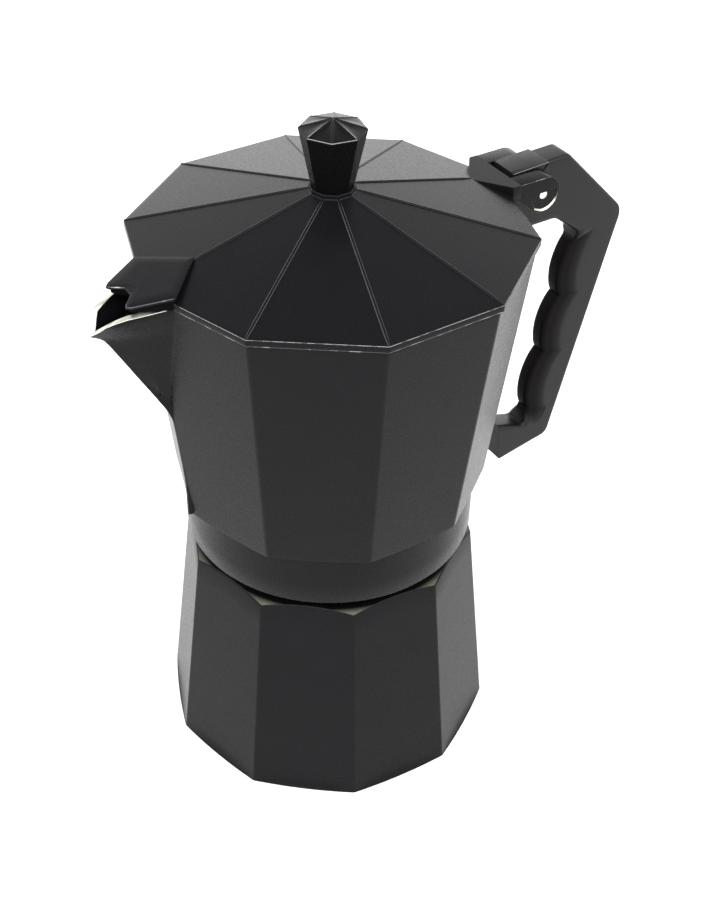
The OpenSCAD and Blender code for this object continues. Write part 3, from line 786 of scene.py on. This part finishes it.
def arm_shell(side):
    """Hinge arm: rows go from its inner face to its outer one, then down into a D-shaped recess round the
    pin. It reaches 5.7 mm below the pin and 1.2 mm above it, and its lower lip is worn to a wide bevel."""
    body = rounded_path([[62, 201.95, .4], [62, 197.4, .4], [63, 196.9, .5], [70.4, 190.7, 1.5],
                         [73.4, 189.1, .01], [74.7, 201.95, .01]])[:24]
    k = np.radians(np.linspace(-100, 88, 24))
    path = np.r_[body, np.stack([PIN_X + 6.45 * np.cos(k), PIN_Z + 6.45 * np.sin(k)], -1)]
    out = outward(path)
    pin = np.array([PIN_X, PIN_Z])
    spoke = (path - pin) / np.linalg.norm(path - pin, axis=1, keepdims=True)
    rise = spoke[:, 1:]
    reach = np.minimum(5.7, 1.2 / np.maximum(rise, 0.05))
    lip = 0.06 + 0.5 * np.clip((-rise - 0.3) / 0.7, 0, 1)
    flats = [(path - out * 1.5, 5.95), (path - out * .3, 5.95), (path, 6.2), (path, 11.8),
             (path - out * .06, 11.95), (path - out * .2, 12.07), (path - out * .35, 12.1),
             (pin + spoke * reach, 12.1), (pin + spoke * (reach - lip), 11.6),
             (pin + spoke * np.minimum(reach - lip, 1.9) * .9, 11.55)]
    grid = np.stack([np.stack([p[:, 0], np.full(len(p), side * y), p[:, 1]], -1) for p, y in flats])
    finish = np.zeros(grid.shape[:2], int)
    finish[7] = MACHINED
    # Painted highlight, partly wear: the arm's top edge takes metal in patches.
    finish[4, path[:, 1] > 201.4] = NICKED_HIGHLIGHT
    order = slice(None) if side < 0 else slice(None, None, -1)
    return {"grid": grid[:, order], "finish": finish[:, order]}


def bridge_shell():
    """Plate that joins the arms, pointed where it meets the lid's fold."""
    plan = rounded_path([[52.4, 0, .5], [61.2, -12.15, 1], [64.4, -12.15, .3], [64.4, 12.15, .3],
                         [61.2, 12.15, 1]])
    out = outward(plan)
    levels = [(.2, .75, 197.2), (.2, .97, 197.2), (.1, 1, 197.3), (0, 1, 197.6), (0, 1, 201.7),
              (.08, 1, 201.92), (.2, 1, 202), (.2, .97, 202), (.2, .75, 202)]
    middle = plan.mean(0)
    return {"grid": np.stack([np.c_[middle + (plan - out * inset - middle) * scale, np.full(len(plan), z)]
                              for inset, scale, z in levels])}


# Two folds stop short, under the bridge and under the hood, and two, those facing the camera, get a
# painted highlight on their flanks.
FOLD_ENDS, HIGHLIT_FOLDS = {0: 53.0, 5: 47.8}, (6, 7)
folds = [bead(36 * k, 7.2, FOLD_ENDS.get(k, 64.5), POLISHED_HIGHLIGHT if k in HIGHLIT_FOLDS else COATED)
         for k in range(SIDES)]
shells = [lid_shell(), *folds, hood_shell(), arm_shell(-1), arm_shell(1), bridge_shell()]
lid = make_piece("lid_casting", shells, LID_FINISHES)
settle(lid, "lid", "coated_casting", "lid")

# %% [markdown]
# ## Knob
#
# The knob is moulded in resin with eight flat sides that widen upwards and a low cap. Eight ribs run
# from the cap's peak to its corners and the skin sags between them. The sag is a squared sine of the
# angle, so that it is zero at each rib and largest half way. The two ribs that face the camera, and the
# cap's edge between them, carry a painted highlight.

# %% Knob
KNOB_SIDES, KNOB_TURN = 8, 11


def make_knob():
    """Sides in rows, then the cap: it rises 3.1 mm over its width, sags by sin^2 of 4 times the angle, and
    has on each corner a rib exp(-(distance / 0.35)^2), 0.2 mm high."""
    angle = columns(KNOB_SIDES, KNOB_TURN, near=(0, .7, 1.4, 2.2, 3.2, 4.5, 7, 11, 16))
    flat = outline(angle, 10.5, 0.5, KNOB_SIDES, KNOB_TURN) / 10.5
    r, z = profile([2.5, 214.9], [6.3, 214.9], [6.6, 215], [6.75, 215.3], [8.6, 224.4], [10.4, 232.9],
                   [10.5, 233.2], [10.42, 233.42], [10.2, 233.55])
    side = ring_points(angle, r * flat, z)
    size = np.array([9.9, 9, 8, 6.5, 5, 3.5, 2, .8])[:, None]
    sag = np.sin(np.radians((angle - KNOB_TURN) * 4)) ** 2
    off = ((angle - KNOB_TURN + 22.5) % 45) - 22.5
    rib = np.exp(-(size * np.radians(off) / 0.35) ** 2)
    height = 233.6 + 3.1 * (1 - size / 10.2) - 0.7 * sag * (size / 10) * (1 - size / 10.4) + 0.2 * rib
    cap = ring_points(angle, size * flat, height)
    finish = np.zeros((len(side) + len(cap), len(angle)), int)
    # Painted highlight: the ribs at 191 and 281 degrees and the cap's edge between them take the light grey
    # resin.
    first = len(angle) // KNOB_SIDES * np.array([4, 6])
    finish[len(side):, np.r_[first, first - 1]] = 1
    finish[len(side) - 2, first[0]:first[1]] = 1
    shell = {"grid": np.concatenate([side, cap]), "finish": finish}
    return make_piece("knob_moulding", [shell], [knob_resin, resin_highlight])


settle(make_knob(), "lid", "knob_plastic", "knob")

# %% [markdown]
# ## Grip
#
# The grip is moulded in phenolic resin. In side view it has a hinge end, a straight back and three
# bumps for the fingers. Its cross-section is a rectangle with soft corners, carried from the hinge to
# the foot, and each section reaches from the inner edge to the matching place on the outer edge.

# %% Grip
BUMP, SCOOP, SCOOP_AT, SCOOP_WIDE = 3.4, 1.6, 3.0, 4.4
NOTCHES = np.array([[98.6, 167.0], [94.8, 144.5], [90.4, 121.5], [85.8, 97.6]])


def resample(path, count=None, at=None):
    """Points spaced evenly along an open path, or at given lengths of it, and the length at each."""
    run = np.r_[0, np.cumsum(np.linalg.norm(np.diff(path, axis=0), axis=1))]
    at = np.linspace(0, run[-1], count) if at is None else at
    return np.stack([np.interp(at, run, path[:, i]) for i in (0, 1)], -1), at


def finger_bump(a, b, k=24):
    """Arc from notch a to notch b: the chord plus an outward swell of BUMP (4 t (1 - t))^0.8."""
    t = np.linspace(0, 1, k)[1:, None]
    way = (b - a) / np.linalg.norm(b - a)
    return a + (b - a) * t + np.array([way[1], -way[0]]) * BUMP * (4 * t * (1 - t)) ** 0.8


def open_bends(*corners):
    """Corners [x, z, radius] rounded, for a path that doesn't close: its ends are left as they are."""
    return rounded_path([list(c) for c in corners])[6:-6]


def length_at(path, x, z):
    """Length of a path up to its point nearest to (x, z), from 2000 points along it."""
    fine, at = resample(path, 2000)
    return at[np.argmin(np.linalg.norm(fine - [x, z], axis=1))]


def make_grip():
    """A row is one section: from the inner edge out to the outer one on one flank, and back on the other.
    The flank is scooped by SCOOP mm between finger edge and back, and eases out by a smooth step."""
    bumps = [finger_bump(a, b) for a, b in zip(NOTCHES, NOTCHES[1:])]
    inner = np.r_[[[64.9, 179]],
                  open_bends([64.9, 179, 1], [87.8, 179, 5], [98.8, 170.5, 1.5], [98.6, 167, 1]),
                  NOTCHES[:1], *bumps, open_bends([85.8, 97.6, 1], [83.4, 91.6, 2], [71.2, 96, 1]),
                  [[71.2, 96]]]
    outer = np.r_[[[66.2, 202.5]],
                  open_bends([66.2, 202.5, 1], [90.2, 203, 2.5], [118, 174.8, 6], [95.4, 83.6, 3.5],
                             [73.4, 79.4, 1]), [[73.4, 79.4]]]
    near, run = resample(inner, 260)
    marks = [([64.9, 179], [66.2, 202.5]), ([84, 179], [85, 202.9]), ([92.5, 175.3], [97, 196]),
             ([98.5, 169], [116, 177]), ([97, 158], [114.6, 161]), ([85.8, 97.6], [98.6, 96.4]),
             ([83.4, 92], [95.4, 84.5]), ([71.2, 96], [73.4, 79.4])]
    matched = np.interp(run, [length_at(inner, *m[0]) for m in marks],
                        [length_at(outer, *m[1]) for m in marks])
    far, _ = resample(outer, at=matched)
    reach = far - near
    depth = np.linalg.norm(reach, axis=1)
    way = reach / depth[:, None]
    start, stop = length_at(inner, 98.6, 167.0), length_at(inner, 84.5, 94.5)
    scoop = SCOOP * np.clip(np.minimum(run - start, stop - run) / 3 + 0.5, 0, 1)[:, None]
    half, soft, crisp = 5.0, 2.0, 1.3
    k = np.radians(np.linspace(0, 90, 7))
    ramp = np.linspace(0, 1, 12)
    swell = ramp ** 2 * (3 - 2 * ramp)
    rows = len(run)
    d = np.concatenate([np.tile(soft * (1 - np.cos(k)), (rows, 1)),
                        np.tile(SCOOP_AT + SCOOP_WIDE * ramp, (rows, 1)), depth[:, None] * [.55, .7, .85],
                        depth[:, None] - crisp * (1 - np.cos(k[::-1]))], 1)
    back = half - crisp + crisp * np.sin(k[::-1])
    y = np.concatenate([half - scoop - soft + soft * np.sin(k), half - scoop * (1 - swell),
                        np.full((rows, 3), half), np.tile(back, (rows, 1))], 1)
    d, y = np.concatenate([d, d[:, ::-1]], 1), np.concatenate([y, -y[:, ::-1]], 1)
    x, z = near[:, :1] + way[:, :1] * d, near[:, 1:] + way[:, 1:] * d
    block = rounded_path([[66.4, 191, 1], [81, 189.5, 1], [81, 202.9, .5], [66.4, 202.4, .5]])
    # Painted shade: hollow is 1 within 3.4 mm of the finger edge where the scoop is full, 0 from 7.4 mm.
    hollow = np.clip(scoop / SCOOP, 0, 1) * np.clip((7.4 - d) / 4, 0, 1)
    # Painted highlight: the hinge block's top rims take the light grey resin.
    return make_piece("grip_moulding", [{"grid": np.stack([x, y, z], -1), "hollow": hollow},
                                        plate(block, 5.5, .2, 1)], [handle_resin, resin_highlight])


settle(make_grip(), "upper", "handle_plastic", "handle")

# %% [markdown]
# ## Hinge pin
#
# The pin is a bright steel rod with a slightly domed, polished end that sits flush in the arms. It is
# a turned shape, so a profile is carried round the pin's own axis, which lies across the pot.

# %% Hinge pin
def make_pin():
    """Rod along Y: radius against place, with a small chamfer and a low dome at each end."""
    place = np.array([-12.0, -11.9, -11.6, -11.1, 0, 11.1, 11.6, 11.9, 12.0])[:, None]
    radius = np.array([0.4, 1.0, 1.5, 1.88, 1.88, 1.88, 1.5, 1.0, 0.4])[:, None]
    k = np.radians(np.arange(0, 360, 12))
    grid = np.stack([PIN_X + radius * np.sin(k), place + 0 * k, PIN_Z + radius * np.cos(k)], -1)
    return make_piece("hinge_rod", [{"grid": grid}], [steel])


settle(make_pin(), "upper", "pin_steel", "hinge_pin")

# %% [markdown]
# ## Valve spring
#
# The safety valve's spring stands between the plunger's flange and the valve's cap, and on the real
# pot it shortens when the plunger lifts. Here it is a round wire swept along a helix, in one fixed
# shape with evenly spaced coils, set in the valve's place.

# %% Valve spring
LEAN = math.atan(math.cos(math.radians(18)) * (BASE_R - TOP_R) / SIDE_H)


VALVE_Z = 45
HALF_SIDE = math.radians(180 / SIDES)


def on_valve(x, y, z):
    """Point of the valve's own frame, z outwards from its facet, leant, moved out and turned."""
    out = math.cos(HALF_SIDE) * (BASE_R - (BASE_R - TOP_R) * VALVE_Z / SIDE_H)
    u = out + x * math.sin(LEAN) + z * math.cos(LEAN)
    w = VALVE_Z - x * math.cos(LEAN) + z * math.sin(LEAN)
    a = math.radians(TURN + 90)
    c, s = math.cos(a), math.sin(a)
    return np.stack([u * c - y * s, u * s + y * c, w + 0 * u], -1)


def make_spring(coil=2.2, wire=0.35, turns=6, low=-2.0, high=5.75):
    """Tube of radius wire round a helix of radius coil: its centre climbs evenly from low to high."""
    t = np.linspace(0, 1, turns * 20 + 1)[:, None]
    a, b = 2 * np.pi * turns * t, np.radians(np.arange(0, 360, 36))
    r, z = coil + wire * np.sin(b), low + (high - low) * t + wire * np.cos(b)
    made = make_piece("spring_wire", [{"grid": on_valve(r * np.cos(a), r * np.sin(a), z)}], [steel])
    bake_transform(made)
    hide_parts("valve_spring")


make_spring()

# %% [markdown]
# ## The solids that stay as they are
#
# The valve, the funnel, the sieve, the gasket, the filter plate, the riser and the knob's screw are
# turned, stamped or moulded in plain shapes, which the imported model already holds. They only need
# their metals. The hidden solids behind the new pieces get a finish too, so that none is left bare.

# %% Finishes of the solids that keep their shape
FINISHES = {
    "valve_body": brass, "valve_washer": copper, "valve_pin": brass, "valve_spring": steel,
    "valve_cap": brass, "funnel": machined, "funnel_sieve": machined, "gasket": rubber,
    "filter_plate": machined, "riser_column": coated, "handle": handle_resin, "hinge_pin": steel,
    "lid": coated, "knob": knob_resin, "knob_insert": brass, "knob_washer": steel,
    "knob_screw": steel, "boiler": coated, "upper_chamber": coated,
}
for name, finish in FINISHES.items():
    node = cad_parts[name]
    node.data.materials.clear()
    node.data.materials.append(finish)
print("solids with a finish:", len(FINISHES))
